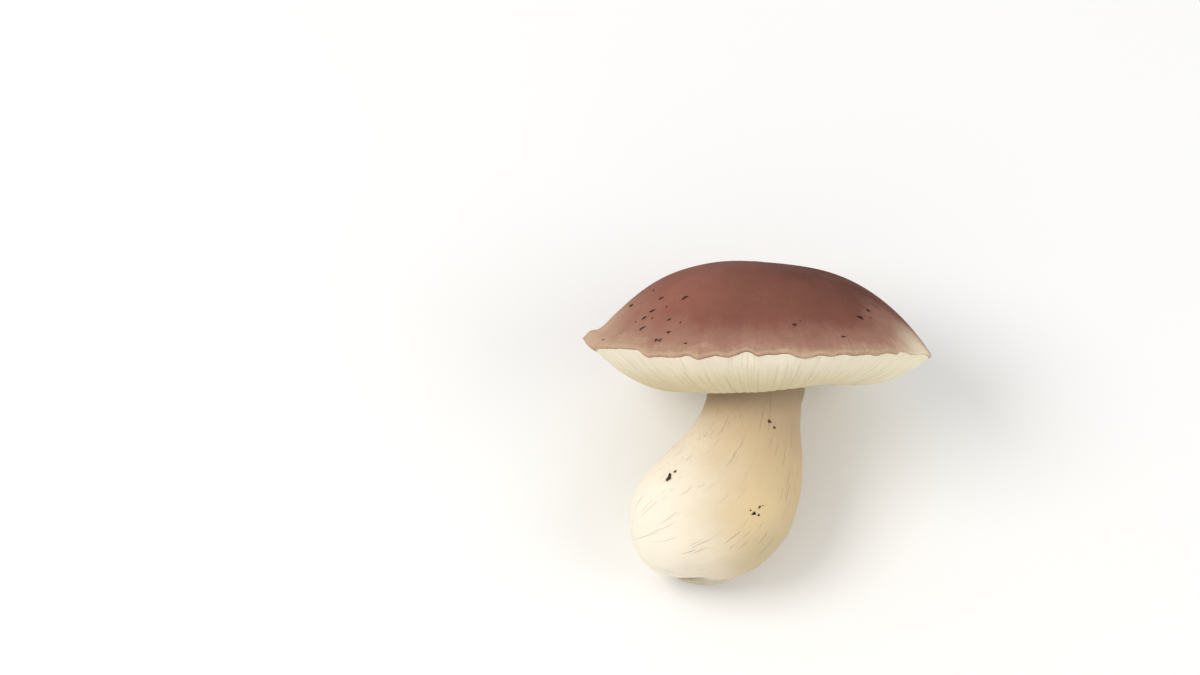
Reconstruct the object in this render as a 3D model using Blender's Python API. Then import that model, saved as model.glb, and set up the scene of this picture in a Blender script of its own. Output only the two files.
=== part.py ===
"""A porcini mushroom, lying as picked on two low places of its cap's rim and one of its bulb.

Run it with: blender --background --python part.py
Units are metres. Each piece is shaped as if the mushroom stood up, with +Z up its stem, the middle
of the cap's rim at the origin and its shown side towards -Y. An empty then lays it on the XY plane,
with +Y from the bulb to the cap and the shown side turned up.
Angles round the cap are in degrees: 0 at the right, 90 at the shown side, 180 at the left lip and
270 at the side that it lies on.
"""

import math

import bmesh
import bpy
import numpy as np

MM = 0.001
GAP = 0.4 * MM  # between pieces that touch

# Cap
CAP_WIDTH = 120.0 * MM
CAP_DEPTH = 115.0 * MM
DOME_HEIGHT = 32.2 * MM
DOME_POWER = 2.75  # 2 would be a round bowl, more is a fuller shoulder
DOME_LEAN = 0.06  # moves the highest point towards the left
DOME_RIGHT_FILL = 0.8 * MM  # makes the right shoulder fuller still
DOME_LUMP = 0.4 * MM
FLESH_RISE = 2.5 * MM  # how far the cap's flat underside rises to its middle
RIM_THICK = 1.1 * MM
RIM_INSET = 0.8 * MM  # how far the skin reaches past the tubes
RIM_PINCH = 0.7 * MM  # the rim thins out to a point at the right
RIM_FLARE = 12  # how suddenly the dome follows the rim's waves
LIP_THICK = 2.5 * MM  # the blunt lip at the left, on top of the rim
LIP_INSET = 4.3 * MM
LIP_ROLL = 1.6 * MM  # swell of the lip's upper side
LIP_HOLLOW = 0.2  # depth of the groove behind it, as a share of the swell
LIP_SPREAD = 18  # degrees

# Height in mm, at these angles, of the line where the skin ends and the tubes begin
RIM_LINE = (
    (0, -0.2), (7, -0.1), (15, 0.85), (22, 0.5), (26, 0.6), (31, 1.55), (33, 1.55), (34.5, 0.6),
    (40, 1.1), (45, 0.25), (50, 0.6), (55, 0.2), (60, 0.6), (65, -0.1), (68, 0.3), (74.5, -0.8),
    (81, 1.0), (85, 0.4), (87, 0.65), (90, -0.05), (94, 1.6), (101, -0.45), (105, 0.15),
    (111, -1.15), (115, 0.25), (119, -0.45), (127, -0.2), (130.6, -0.4), (137.6, 2.4), (146, 2.6),
    (160, 2.6), (165, 2.2), (180, 2.1), (200, 1.2), (214, -0.9), (230, 1.0), (247, -0.4), (270, 4.0),
    (293, -0.4), (307, 1.1), (323, -0.9), (339, 0.8), (352, -1.0),
)
# How far the rim bulges out: angle, size in mm, half width in degrees
RIM_BULGES = (
    (35, -0.6, 14), (65, 0.5, 12), (110, 0.6, 12), (140, -0.7, 12), (215, -0.6, 12),
    (248, 2.2, 14), (270, -0.8, 8), (292, 2.2, 14), (325, -0.5, 12),
)

# Tube layer under the cap
TUBE_DEPTH = 11.4 * MM
TUBE_DEPTH_LEAN = 1.5 * MM  # deeper at the left, shallower at the right
TUBE_BULGES = ((105, 0.9, 35), (88, 0.45, 10), (47, -0.7, 13), (313, -0.7, 13))
TUBE_SHOULDER = 0.525  # share of the radius over which the layer swells from its edge
TUBE_SHOULDER_LEAN = 0.075
TUBE_POWER = 2.35
TUBE_DIP = 0.3  # share of the depth that is lost again beside the stem
RIDGE_COUNT = 64
RIDGE_HEIGHT = 0.35 * MM

# Stem, each section as (height, left side, right side, half its depth) in mm
STEM_SECTIONS = (
    (1.9, -17.0, 17.0, 16.2),
    (-5.5, -17.0, 17.0, 16.2),
    (-12.7, -17.3, 16.3, 16.2),
    (-16.9, -18.3, 15.3, 16.3),
    (-20.7, -19.9, 15.1, 17.0),
    (-24.6, -22.4, 15.1, 18.2),
    (-29.4, -26.8, 15.4, 20.2),
    (-33.4, -31.3, 15.7, 21.8),
    (-38.7, -37.0, 15.7, 23.6),
    (-43.5, -40.9, 15.4, 24.8),
    (-48.8, -43.0, 14.8, 25.6),
    (-54.9, -43.6, 13.1, 25.8),
    (-61.1, -43.1, 10.8, 25.0),
    (-66.8, -41.4, 6.5, 23.0),
    (-71.6, -38.1, 1.3, 19.2),
    (-74.6, -34.0, -3.9, 13.8),
    (-76.5, -28.4, -8.2, 7.0),
)
STEM_FOOT = (-20.0, 0.0, -77.0)  # its lowest point, in mm
HOLE_MARGIN = 0.4 * MM  # round the stem, where it passes through the tubes
LOBE_CENTRE = (-17.9, 4.0, -64.0)  # a second lobe at the foot, behind the bulb's overhang, in mm
LOBE_RADII = (17.9, 17.0, 15.1)

# Resting
PRESSED = 0.35 * MM  # how far the flesh is pressed flat where it lies
FLOOR_SIZE = 0.4

# Meshes
CAP_SEGMENTS, CAP_RINGS = 192, 17
CAP_TIP_RING, CAP_EDGE_RING = 12, 14
TUBE_SEGMENTS = 192
TUBE_SHARES = (0.982, 0.94, 0.87, 0.78, 0.67, 0.54, 0.42)  # lower rings, as shares of its radius
TUBE_TOP_SHARE = 0.66
STEM_SEGMENTS, STEM_RINGS = 64, 30

# Colours, as linear red, green and blue
CAP_COLOUR = (0.262, 0.120, 0.084)
TUBE_COLOUR = (0.658, 0.558, 0.371)
STEM_COLOUR = (0.776, 0.631, 0.413)


def clear_scene():
    for obj in list(bpy.data.objects):
        bpy.data.objects.remove(obj, do_unlink=True)


def new_collection(name):
    collection = bpy.data.collections.new(name)
    bpy.context.scene.collection.children.link(collection)
    return collection


def material(name, colour, roughness):
    made = bpy.data.materials.new(name)
    made.use_nodes = True
    shader = made.node_tree.nodes["Principled BSDF"]
    shader.inputs["Base Color"].default_value = (*colour, 1.0)
    shader.inputs["Roughness"].default_value = roughness
    shader.inputs["Metallic"].default_value = 0.0
    made.diffuse_color = (*colour, 1.0)
    return made


def bump(theta, centre, half_width):
    """1 at the centre, in degrees, falling to 0 on both sides."""
    away = (np.degrees(theta) - centre + 180) % 360 - 180
    return np.exp(-((away / half_width) ** 2))


def bumps(theta, rows):
    return sum(size * MM * bump(theta, centre, width) for centre, size, width in rows)


def lip(theta):
    return bump(theta, 180, LIP_SPREAD)


def cap_radius(theta):
    """Distance of the rim from the cap's axis: an oval with bulges."""
    oval = 1 / np.hypot(np.cos(theta) * 2 / CAP_WIDTH, np.sin(theta) * 2 / CAP_DEPTH)
    return oval + bumps(theta, RIM_BULGES)


def edge_height(theta):
    """Height of the skin's lower edge: smooth steps from each row of the rim line to the next."""
    angles, heights = np.array(RIM_LINE + ((360 + RIM_LINE[0][0], RIM_LINE[0][1]),)).T
    angle = np.degrees(theta) % 360
    row = np.clip(np.searchsorted(angles, angle, side="right") - 1, 0, len(angles) - 2)
    t = (angle - angles[row]) / (angles[row + 1] - angles[row])
    return (heights[row] + (heights[row + 1] - heights[row]) * t * t * (3 - 2 * t)) * MM


def tip_height(theta):
    """Height of the rim's outermost point."""
    thick = RIM_THICK - RIM_PINCH * bump(theta, 0, LIP_SPREAD)
    return edge_height(theta) + thick + LIP_THICK * lip(theta)


def tube_radius(theta):
    return cap_radius(theta) - RIM_INSET - LIP_INSET * lip(theta)


def flesh_underside(theta, share):
    """Height of the plane between flesh and tubes, at a share of the tube layer's radius."""
    return edge_height(theta) * share**4 + FLESH_RISE * (1 - share**2)


def dome_height(theta, share):
    """Height of the skin at a share of the cap's radius."""
    dome = DOME_HEIGHT * (1 - share**DOME_POWER)
    lean = -DOME_LEAN * cap_radius(theta) * share * np.cos(theta) * (1 - share**2) ** 2
    fill = DOME_RIGHT_FILL * np.maximum(np.cos(theta), 0) ** 2 * np.sin(math.pi * share**2.2)
    lump = DOME_LUMP * 4 * share * (1 - share) * np.cos(3 * theta + 1.1)
    hollow = LIP_HOLLOW * np.exp(-(((share - 0.88) / 0.035) ** 2))
    roll = np.exp(-(((share - 0.96) / 0.035) ** 2)) - hollow
    flare = tip_height(theta) * share**RIM_FLARE + LIP_ROLL * lip(theta) * roll
    return dome + lean + fill + lump + flare


def tube_depth(theta, share):
    """How far the tubes hang below their edge: they swell quickly, then dip beside the stem."""
    shoulder = TUBE_SHOULDER - TUBE_SHOULDER_LEAN * np.cos(theta)
    inward = np.clip((1 - share) / shoulder, 0, 1)
    swell = 1 - (1 - inward) ** TUBE_POWER
    dip = 1 - TUBE_DIP * np.clip((0.6 - share) / 0.35, 0, 1) ** 2
    deepest = TUBE_DEPTH - TUBE_DEPTH_LEAN * np.cos(theta) + bumps(theta, TUBE_BULGES)
    return deepest * swell * dip


def ridge(theta, share):
    """Fine ridges that fan out from the stem to the rim and fade at both ends."""
    fade = np.sin(math.pi * np.clip((share - 0.3) / 0.7, 0, 1)) ** 0.5
    return RIDGE_HEIGHT * fade * np.cos(RIDGE_COUNT * theta)


def round_the_axis(theta, radius, height):
    """Points at an angle, a distance from the cap's axis and a height."""
    return np.stack([radius * np.cos(theta), -radius * np.sin(theta), height], axis=1)


def points_of(mesh):
    points = np.empty(len(mesh.vertices) * 3)
    mesh.vertices.foreach_get("co", points)
    return points.reshape(-1, 3)


def reshape_mesh(mesh, points):
    mesh.vertices.foreach_set("co", points.ravel())
    mesh.update()


def ball(name, segments, rings):
    """A unit ball with its poles on Z, to be reshaped ring by ring."""
    mesh = bpy.data.meshes.new(name)
    shape = bmesh.new()
    bmesh.ops.create_uvsphere(shape, u_segments=segments, v_segments=rings, radius=1.0)
    shape.to_mesh(mesh)
    shape.free()
    return mesh


def ball_places(mesh, rings):
    """The angle round Z and the ring number, 0 at the top, of each point of a ball."""
    x, y, z = points_of(mesh).T
    ring = np.rint(np.arccos(np.clip(z, -1, 1)) / math.pi * rings)
    return np.arctan2(-y, x), ring.astype(int)


def cap_mesh():
    """The brown cap: rings over the dome, round the rim and across the flat underside."""
    mesh = ball("cap", CAP_SEGMENTS, CAP_RINGS)
    theta, ring = ball_places(mesh, CAP_RINGS)
    share = np.sin(0.5 * math.pi * np.clip(ring / CAP_TIP_RING, 0, 1))
    radius = cap_radius(theta) * share
    height = dome_height(theta, share)

    inward = (CAP_RINGS - ring) / (CAP_RINGS - CAP_EDGE_RING)
    inward = np.where(inward < 1, TUBE_TOP_SHARE * 1.5 * inward, 1.0)
    under = ring >= CAP_EDGE_RING
    radius = np.where(under, tube_radius(theta) * inward, radius)
    height = np.where(under, flesh_underside(theta, inward), height)

    turn = ring == CAP_TIP_RING + 1
    radius = np.where(turn, (cap_radius(theta) + tube_radius(theta)) / 2, radius)
    height = np.where(turn, edge_height(theta) * 0.7 + tip_height(theta) * 0.3, height)
    reshape_mesh(mesh, round_the_axis(theta, radius, height))
    return mesh


def stem_oval(theta):
    """Distance from the axis to the stem's side where it passes through the tubes."""
    _, left, right, deep = (value * MM for value in STEM_SECTIONS[0])
    return 1 / np.hypot(np.cos(theta) * 2 / (right - left), np.sin(theta) / deep)


def tube_mesh():
    """The tube layer: a ring round the stem, with a ridged, swollen lower face."""
    rings = len(TUBE_SHARES) + 4
    bpy.ops.mesh.primitive_torus_add(
        major_segments=TUBE_SEGMENTS, minor_segments=rings, major_radius=1, minor_radius=0.25
    )
    blank = bpy.context.object
    mesh = blank.data
    mesh.name = "pore_layer"
    bpy.data.objects.remove(blank)
    x, y, z = points_of(mesh).T
    theta = np.arctan2(-y, x)
    turn = np.arctan2(z, np.hypot(x, y) - 1) / (2 * math.pi) * rings
    ring = np.rint(turn).astype(int) % rings  # 0 at the rim, then over the top and back below

    hole = (stem_oval(theta) + HOLE_MARGIN) / tube_radius(theta)
    share = np.where(ring == 1, TUBE_TOP_SHARE, hole)
    share = np.where(ring == 0, 1.0, share)
    top = flesh_underside(theta, share) - GAP

    lower_shares = np.array((1, 1, 1, 1, *reversed(TUBE_SHARES)))
    share = np.where(ring > 3, lower_shares[ring], share)
    bottom = edge_height(theta) * share**3 - tube_depth(theta, share) - GAP
    height = np.where(ring >= 3, bottom + ridge(theta, share), top)
    radius = tube_radius(theta) * share - np.where(ring == 0, GAP, 0)
    reshape_mesh(mesh, round_the_axis(theta, radius, height))
    return mesh


def between_rows(rows, places):
    """Rows read at places between whole rows, on smooth curves through them."""
    rows = np.array(rows)
    slopes = np.gradient(rows, axis=0)
    row = np.clip(places.astype(int), 0, len(rows) - 2)
    t = (places - row)[:, None]
    step = (rows[row + 1] - rows[row]) * t * t * (3 - 2 * t)
    bend = slopes[row] * t * (1 - t) ** 2 - slopes[row + 1] * t * t * (1 - t)
    return rows[row] + step + bend


def push_out_of_lobe(points):
    """Moves points that are inside the foot's lobe straight out to its surface."""
    centre, radii = np.array(LOBE_CENTRE) * MM, np.array(LOBE_RADII) * MM
    away = points - centre
    depth = np.linalg.norm(away / radii, axis=1)
    return centre + away / np.minimum(depth, 1.0)[:, None]


def stem_mesh():
    """The stem: oval sections from the cap's flesh down to the bulb, with a lobe at its foot."""
    mesh = ball("stem", STEM_SEGMENTS, STEM_RINGS)
    theta, ring = ball_places(mesh, STEM_RINGS)
    places = np.clip((ring - 1) / (STEM_RINGS - 2), 0, 1) * (len(STEM_SECTIONS) - 1)
    height, left, right, deep = between_rows(STEM_SECTIONS, places).T * MM
    x = (left + right) / 2 + (right - left) / 2 * np.cos(theta)
    points = np.stack([x, -deep * np.sin(theta), height], axis=1)
    points[ring == 0] = (0, 0, STEM_SECTIONS[0][0] * MM)
    points[ring == STEM_RINGS] = np.array(STEM_FOOT) * MM
    reshape_mesh(mesh, push_out_of_lobe(points))
    return mesh


def laid_down(points, tilt):
    """Points after the mushroom is laid on its back, its axis at that tilt to the floor."""
    x, y, z = points.T
    sine, cosine = math.sin(tilt), math.cos(tilt)
    return np.stack([x, y * sine + z * cosine, z * sine - y * cosine], axis=1)


def resting_tilt(cap, stem):
    """The tilt at which the lowest points of cap and stem are level."""
    low, high = 0.0, math.radians(60)
    for _ in range(40):
        tilt = (low + high) / 2
        if laid_down(cap, tilt)[:, 2].min() < laid_down(stem, tilt)[:, 2].min():
            low = tilt
        else:
            high = tilt
    return tilt


def floor_block(collection):
    bpy.ops.mesh.primitive_cube_add(size=FLOOR_SIZE, location=(0, 0, -FLOOR_SIZE / 2))
    floor = bpy.context.object
    floor.name = "floor"
    for holder in list(floor.users_collection):
        holder.objects.unlink(floor)
    collection.objects.link(floor)
    floor.hide_render = True
    floor.display_type = "WIRE"
    return floor


def flatten_on(obj, floor):
    """Cuts away what would sink into the floor, which leaves the pressed flat spots."""
    cut = obj.modifiers.new("pressed_flat", "BOOLEAN")
    cut.operation = "DIFFERENCE"
    cut.solver = "EXACT"
    cut.object = floor


def main():
    clear_scene()
    mushroom = new_collection("porcini_mushroom")
    cap, tubes, stem = cap_mesh(), tube_mesh(), stem_mesh()

    tilt = resting_tilt(points_of(cap), points_of(stem))
    lying = np.vstack([laid_down(points_of(mesh), tilt) for mesh in (cap, tubes, stem)])
    low, high = lying.min(axis=0), lying.max(axis=0)
    middle = (low + high) / 2
    pose = bpy.data.objects.new("lying_pose", None)
    pose.rotation_euler = (tilt - math.pi / 2, 0, 0)
    pose.location = (-middle[0], -middle[1], -low[2] - PRESSED)
    mushroom.objects.link(pose)

    floor = floor_block(new_collection("cutters"))
    pieces = (
        (cap, material("cap_skin", CAP_COLOUR, 0.75)),
        (tubes, material("pore_layer", TUBE_COLOUR, 0.75)),
        (stem, material("stem_flesh", STEM_COLOUR, 0.75)),
    )
    for mesh, colour in pieces:
        mesh.materials.append(colour)
        obj = bpy.data.objects.new(mesh.name, mesh)
        obj.parent = pose
        mushroom.objects.link(obj)
        if mesh is not tubes:
            flatten_on(obj, floor)


main()
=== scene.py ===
import math

import bpy
import numpy as np
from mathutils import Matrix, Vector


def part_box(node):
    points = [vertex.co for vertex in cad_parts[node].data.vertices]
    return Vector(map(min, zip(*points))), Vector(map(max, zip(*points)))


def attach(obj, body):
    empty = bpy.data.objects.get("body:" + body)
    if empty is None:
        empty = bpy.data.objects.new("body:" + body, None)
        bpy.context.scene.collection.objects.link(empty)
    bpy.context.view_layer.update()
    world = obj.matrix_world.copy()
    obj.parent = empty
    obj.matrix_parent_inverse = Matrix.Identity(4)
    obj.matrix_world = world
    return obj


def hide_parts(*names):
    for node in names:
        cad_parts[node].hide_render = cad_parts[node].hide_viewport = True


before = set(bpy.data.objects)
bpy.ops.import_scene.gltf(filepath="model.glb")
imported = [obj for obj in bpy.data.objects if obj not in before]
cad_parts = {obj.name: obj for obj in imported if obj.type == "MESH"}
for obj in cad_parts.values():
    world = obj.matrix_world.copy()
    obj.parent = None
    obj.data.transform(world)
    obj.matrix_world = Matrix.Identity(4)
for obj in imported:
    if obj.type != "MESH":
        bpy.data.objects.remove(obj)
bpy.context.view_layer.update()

# The mushroom is shaped as it grows, in millimetres: x to the photo's right, z up the stem, the shown
# side towards -y, and the middle of the cap's rim at the origin. layDown then turns and places it.
# Angles round the cap: 0 at the right, 90 at the shown side, 180 at the left lip, 270 underneath.

capShape = {
    "width": 120.0,
    "depth": 115.0,
    "height": 32.2,
    "shoulder": 2.75,       # power of the dome's fall, more is fuller
    "lean": 0.06,           # moves the highest point to the left
    "rightFill": 0.8,
    "lump": 0.4,
    "fleshRise": 2.5,       # rise of the flesh's flat underside to its middle
    "rimThick": 1.1,
    "rimInset": 0.8,        # skin past the tubes
    "rimPinch": 0.7,        # thinner at the right tip
    "rimFlare": 12,         # how suddenly the dome follows the rim's broad waves
    "rimSkirt": 32,         # the same for its small ones
    "rimRipple": 0.04,
    "ripples": ((43, 1), (71, 4), (109, 2)),    # how many round the rim, where they start
    "lipThick": 2.5,
    "lipInset": 4.3,
    "lipSpread": 18,
    "lipStraight": 0.8,     # how straight the lip's lower side is
    "lipRoll": 1.6,
    "rollPlace": 0.96,      # share of the radius, as for the hollow and the folds
    "rollWidth": 0.035,
    "lipHollow": 0.2,       # behind the roll, as a share of it
    "hollowPlace": 0.88,
    "foldPlace": 0.92,
    "foldWidth": 0.05,
    "swell": 0.22,          # broad unevenness of the dome
    "flute": 0.10,          # fine flutes that run up from the rim
    "flutes": ((83, 2, 5), (131, 3, 7)),        # how many, how far they drift, how often
    "flowRadius": 55.0,     # circle that stands for the angle in the patterns
    "columns": 640,
    "domeRows": 112,
    "turnRows": 9,
    "underRows": 8,
}
rimLine = (                 # angle, height of the skin's lower edge
    (0, -0.2), (7, -0.1), (15, 0.85), (22, 0.5), (26, 0.6), (31, 1.55), (33, 1.55), (34.5, 0.6),
    (40, 1.1), (45, 0.25), (50, 0.6), (55, 0.2), (60, 0.6), (65, -0.1), (68, 0.3), (74.5, -0.8),
    (81, 1.0), (85, 0.4), (87, 0.65), (90, -0.05), (94, 1.6), (101, -0.45), (105, 0.15),
    (111, -1.15), (115, 0.25), (119, -0.45), (127, -0.2), (130.6, -0.4), (137.6, 2.4), (146, 2.6),
    (160, 2.6), (165, 2.2), (180, 2.1), (200, 1.2), (214, -0.9), (230, 1.0), (247, -0.4), (270, 4.0),
    (293, -0.4), (307, 1.1), (323, -0.9), (339, 0.8), (352, -1.0),
)
rimBulges = (               # angle, size, half width
    (35, -0.6, 14), (65, 0.5, 12), (110, 0.6, 12), (140, -0.7, 12), (215, -0.6, 12),
    (248, 2.2, 14), (270, -0.8, 8), (292, 2.2, 14), (325, -0.5, 12),
)
lipFolds = (                # angle, half width, depth of the folds on the left lip
    (168, 1.8, 0.15), (175.5, 1.0, 0.5), (186, 1.4, 0.4), (194, 1.8, 0.3),
)


# difference between two angles in degrees, the short way round
def shortWay(degrees, centre):
    return (degrees - centre + 180) % 360 - 180


# e to the minus (distance / half width) squared
def bell(away, halfWidth):
    return np.exp(-((away / halfWidth) ** 2))


# the same curve round an angle, with its centre and half width in degrees
def bump(angle, centre, halfWidth):
    return bell(shortWay(np.degrees(angle), centre), halfWidth)


# sum of size * bump over the rows
def bumps(angle, rows):
    return sum(size * bump(angle, centre, halfWidth) for centre, size, halfWidth in rows)


# between two rows the height goes over in a smooth step, t * t * (3 - 2t)
def smoothSteps(angle, rows):
    stops, heights = np.array(rows + ((rows[0][0] + 360, rows[0][1]),)).T
    degrees = np.degrees(angle) % 360
    row = np.clip(np.searchsorted(stops, degrees, side="right") - 1, 0, len(stops) - 2)
    t = (degrees - stops[row]) / (stops[row + 1] - stops[row])
    return heights[row] + (heights[row + 1] - heights[row]) * t * t * (3 - 2 * t)


# 1 at the left lip, a bell curve round it
def lip(angle):
    return bump(angle, 180, capShape["lipSpread"])


# an oval in polar form, 1 / hypot(cos / a, sin / b), plus bell-shaped bulges
def rimRadius(angle):
    across, deep = capShape["width"] / 2, capShape["depth"] / 2
    return 1 / np.hypot(np.cos(angle) / across, np.sin(angle) / deep) + bumps(angle, rimBulges)


# the rim line plus small sine waves: sum of sin(count * angle + start)
def edgeHeight(angle):
    ripple = sum(np.sin(count * angle + start) for count, start in capShape["ripples"])
    return smoothSteps(angle, rimLine) + capShape["rimRipple"] * ripple


# the rim line without its small waves: its mean over a bell curve of 8 degrees
def broadEdge(angle):
    around = np.arange(-24, 25, 2.0)
    weights = bell(around, 8)
    rows = sum(w * smoothSteps(angle + math.radians(a), rimLine) for a, w in zip(around, weights))
    return rows / weights.sum()


# edge height plus the rim's thickness, which is less at the right tip and more at the lip
def tipHeight(angle):
    thick = capShape["rimThick"] - capShape["rimPinch"] * bump(angle, 0, capShape["lipSpread"])
    return edgeHeight(angle) + thick + capShape["lipThick"] * lip(angle)


# rim radius less the skin's overhang, which is larger at the lip
def tubeRadius(angle):
    return rimRadius(angle) - capShape["rimInset"] - capShape["lipInset"] * lip(angle)


# edge height * share^4, rising to the middle by rise * (1 - share^2)
def fleshHeight(angle, share):
    return edgeHeight(angle) * share**4 + capShape["fleshRise"] * (1 - share**2)


# height * (1 - share^power), leaning left, with a fuller right shoulder, a three-sided lump, the roll
# and hollow of the lip, and the rim's waves faded in by share^flare
def domeHeight(angle, share):
    dome = capShape["height"] * (1 - share ** capShape["shoulder"])
    lean = -capShape["lean"] * rimRadius(angle) * share * np.cos(angle) * (1 - share**2) ** 2
    fill = capShape["rightFill"] * np.maximum(np.cos(angle), 0) ** 2 * np.sin(math.pi * share**2.2)
    lump = capShape["lump"] * 4 * share * (1 - share) * np.cos(3 * angle + 1.1)
    hollow = capShape["lipHollow"] * bell(share - capShape["hollowPlace"], capShape["rollWidth"])
    crest = bell(share - capShape["rollPlace"], capShape["rollWidth"])
    roll = capShape["lipRoll"] * lip(angle) * (crest - hollow)
    small = edgeHeight(angle) - broadEdge(angle)
    flare = (tipHeight(angle) - small) * share ** capShape["rimFlare"]
    return dome + lean + fill + lump + roll + flare + small * share ** capShape["rimSkirt"]


# x = r cos, y = -r sin, z as given
def roundTheAxis(angle, radius, height):
    angle, radius, height = np.broadcast_arrays(angle, radius, height)
    return np.stack([radius * np.cos(angle), -radius * np.sin(angle), height], axis=-1)


# direction of the surface at each grid point: (step along the row) x (step to the next row)
def gridNormals(points, ring=False):
    along = np.roll(points, -1, axis=1) - np.roll(points, 1, axis=1)
    if ring:
        down = np.roll(points, -1, axis=0) - np.roll(points, 1, axis=0)
    else:
        down = np.gradient(points, axis=0)
    normal = np.cross(along, down)
    length = np.linalg.norm(normal, axis=-1, keepdims=True)
    return np.where(length > 1e-9, normal / np.maximum(length, 1e-9), 0)


# length of the surface along each column, counted from one row
def awayFromRow(points, row):
    steps = np.linalg.norm(np.diff(points, axis=0), axis=-1)
    run = np.concatenate([np.zeros((1, points.shape[1])), np.cumsum(steps, axis=0)])
    return np.abs(run - run[row])


# evenly spaced angles from 0 to just under a full turn
def angleRow(count):
    return (np.arange(count) / count * 2 * math.pi)[None, :]


# 0 below the low value and 1 above the high one, t * t * (3 - 2t) between
def fade(value, low, high):
    t = np.clip((value - low) / (high - low), 0, 1)
    return t * t * (3 - 2 * t)


# rows over the dome, pushed out along its normals by sines of x and y and by flutes that fade in as
# share^9, then a quarter oval round the rim, 1 - cos in and sin down, blended with a straight line
# under the lip, and rows across the flesh underneath
def capGrid():
    angle = angleRow(capShape["columns"])
    share = np.sin(np.linspace(0, math.pi / 2, capShape["domeRows"]))[:, None]
    dome = roundTheAxis(angle, rimRadius(angle) * share, domeHeight(angle, share))
    x, y = dome[..., 0], dome[..., 1]
    swell = np.sin(x / 11 + 1.3) * np.cos(y / 13 + 0.4) + 0.5 * np.sin(x / 5.1 + y / 6.3 + 2)
    flute = sum(np.cos(n * angle + far * np.sin(often * angle)) for n, far, often in capShape["flutes"])
    folds = sum(depth * bump(angle, place, width) for place, width, depth in lipFolds)
    relief = capShape["swell"] * swell * (1 - share**6) + capShape["flute"] * flute * share**9
    relief = relief - folds * bell(share - capShape["foldPlace"], capShape["foldWidth"])
    dome = dome + gridNormals(dome) * relief[..., None]

    way = np.linspace(0, 1, capShape["turnRows"] + 1)[1:, None]
    turn, straight = way * math.pi / 2, capShape["lipStraight"] * lip(angle)
    tip, edge = tipHeight(angle), edgeHeight(angle)
    inset = rimRadius(angle) - tubeRadius(angle)
    radius = rimRadius(angle) - inset * ((1 - np.cos(turn)) * (1 - straight) + way * straight)
    fall = np.sin(turn) * (1 - straight) + way * straight
    rim = roundTheAxis(angle, radius, tip - (tip - edge) * fall)

    inward = np.linspace(1, 0, capShape["underRows"] + 1)[1:, None]
    under = roundTheAxis(angle, tubeRadius(angle) * inward, fleshHeight(angle, inward))
    return np.concatenate([dome, rim, under]), angle


tubeShape = {
    "depth": 11.4,
    "depthLean": 1.5,       # deeper at the left
    "shoulder": 0.525,      # share of the radius over which it swells
    "shoulderLean": 0.075,
    "power": 2.35,
    "dip": 0.3,             # depth lost again beside the stem
    "gap": 0.12,
    "holeMargin": 0.1,
    "pleats": 64,
    "pleatHeight": 0.07,
    "pleatDrift": ((1.3, 3, 0), (0.9, 7, 1)),   # how far the pleats drift, how often, where it starts
    "grooves": 100,
    "grooveSpread": 0.34,   # how far each is out of its even place
    "grooveOuter": (0.86, 1.0),                 # where they start and end, as shares of the radius
    "grooveInner": (0.25, 0.8),
    "grooveStrength": (0.25, 1.0),
    "grooveBend": (-5, 5),  # degrees
    "grooveDepth": 0.13,
    "grooveWidth": 0.36,
    "seed": 11,
    "columns": 768,
    "faceRows": 112,
    "wallRows": 4,
    "topRows": 6,
}
tubeBulges = (              # angle, extra depth, half width
    (105, 0.9, 35), (88, 0.45, 10), (47, -0.7, 13), (313, -0.7, 13),
)


# depth * (1 - (1 - way in)^power), less a dip beside the stem
def tubeDepth(angle, share):
    shoulder = tubeShape["shoulder"] - tubeShape["shoulderLean"] * np.cos(angle)
    inward = np.clip((1 - share) / shoulder, 0, 1)
    swell = 1 - (1 - inward) ** tubeShape["power"]
    dip = 1 - tubeShape["dip"] * np.clip((0.6 - share) / 0.35, 0, 1) ** 2
    deepest = tubeShape["depth"] - tubeShape["depthLean"] * np.cos(angle)
    return (deepest + bumps(angle, tubeBulges)) * swell * dip


# lines that run from the rim towards the stem, each a bell curve across its own bent path
def tubeGrooves(angle, share):
    draw = np.random.default_rng(tubeShape["seed"])
    count = tubeShape["grooves"]
    spread = tubeShape["grooveSpread"]
    places = (np.arange(count) + draw.uniform(-spread, spread, count)) / count * 360
    mask = np.zeros(np.broadcast_shapes(angle.shape, share.shape))
    for place in places:
        outer = draw.uniform(*tubeShape["grooveOuter"])
        inner = draw.uniform(*tubeShape["grooveInner"])
        strength = draw.uniform(*tubeShape["grooveStrength"])
        path = place + draw.uniform(*tubeShape["grooveBend"]) * (1 - share) ** 2
        across = np.radians(shortWay(np.degrees(angle), path)) * share * capShape["width"] / 2
        line = bell(across, tubeShape["grooveWidth"])
        ends = fade(share, inner - 0.08, inner + 0.12) * (1 - fade(share, outer - 0.06, outer + 0.02))
        mask = np.maximum(mask, strength * line * ends)
    return mask


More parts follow.
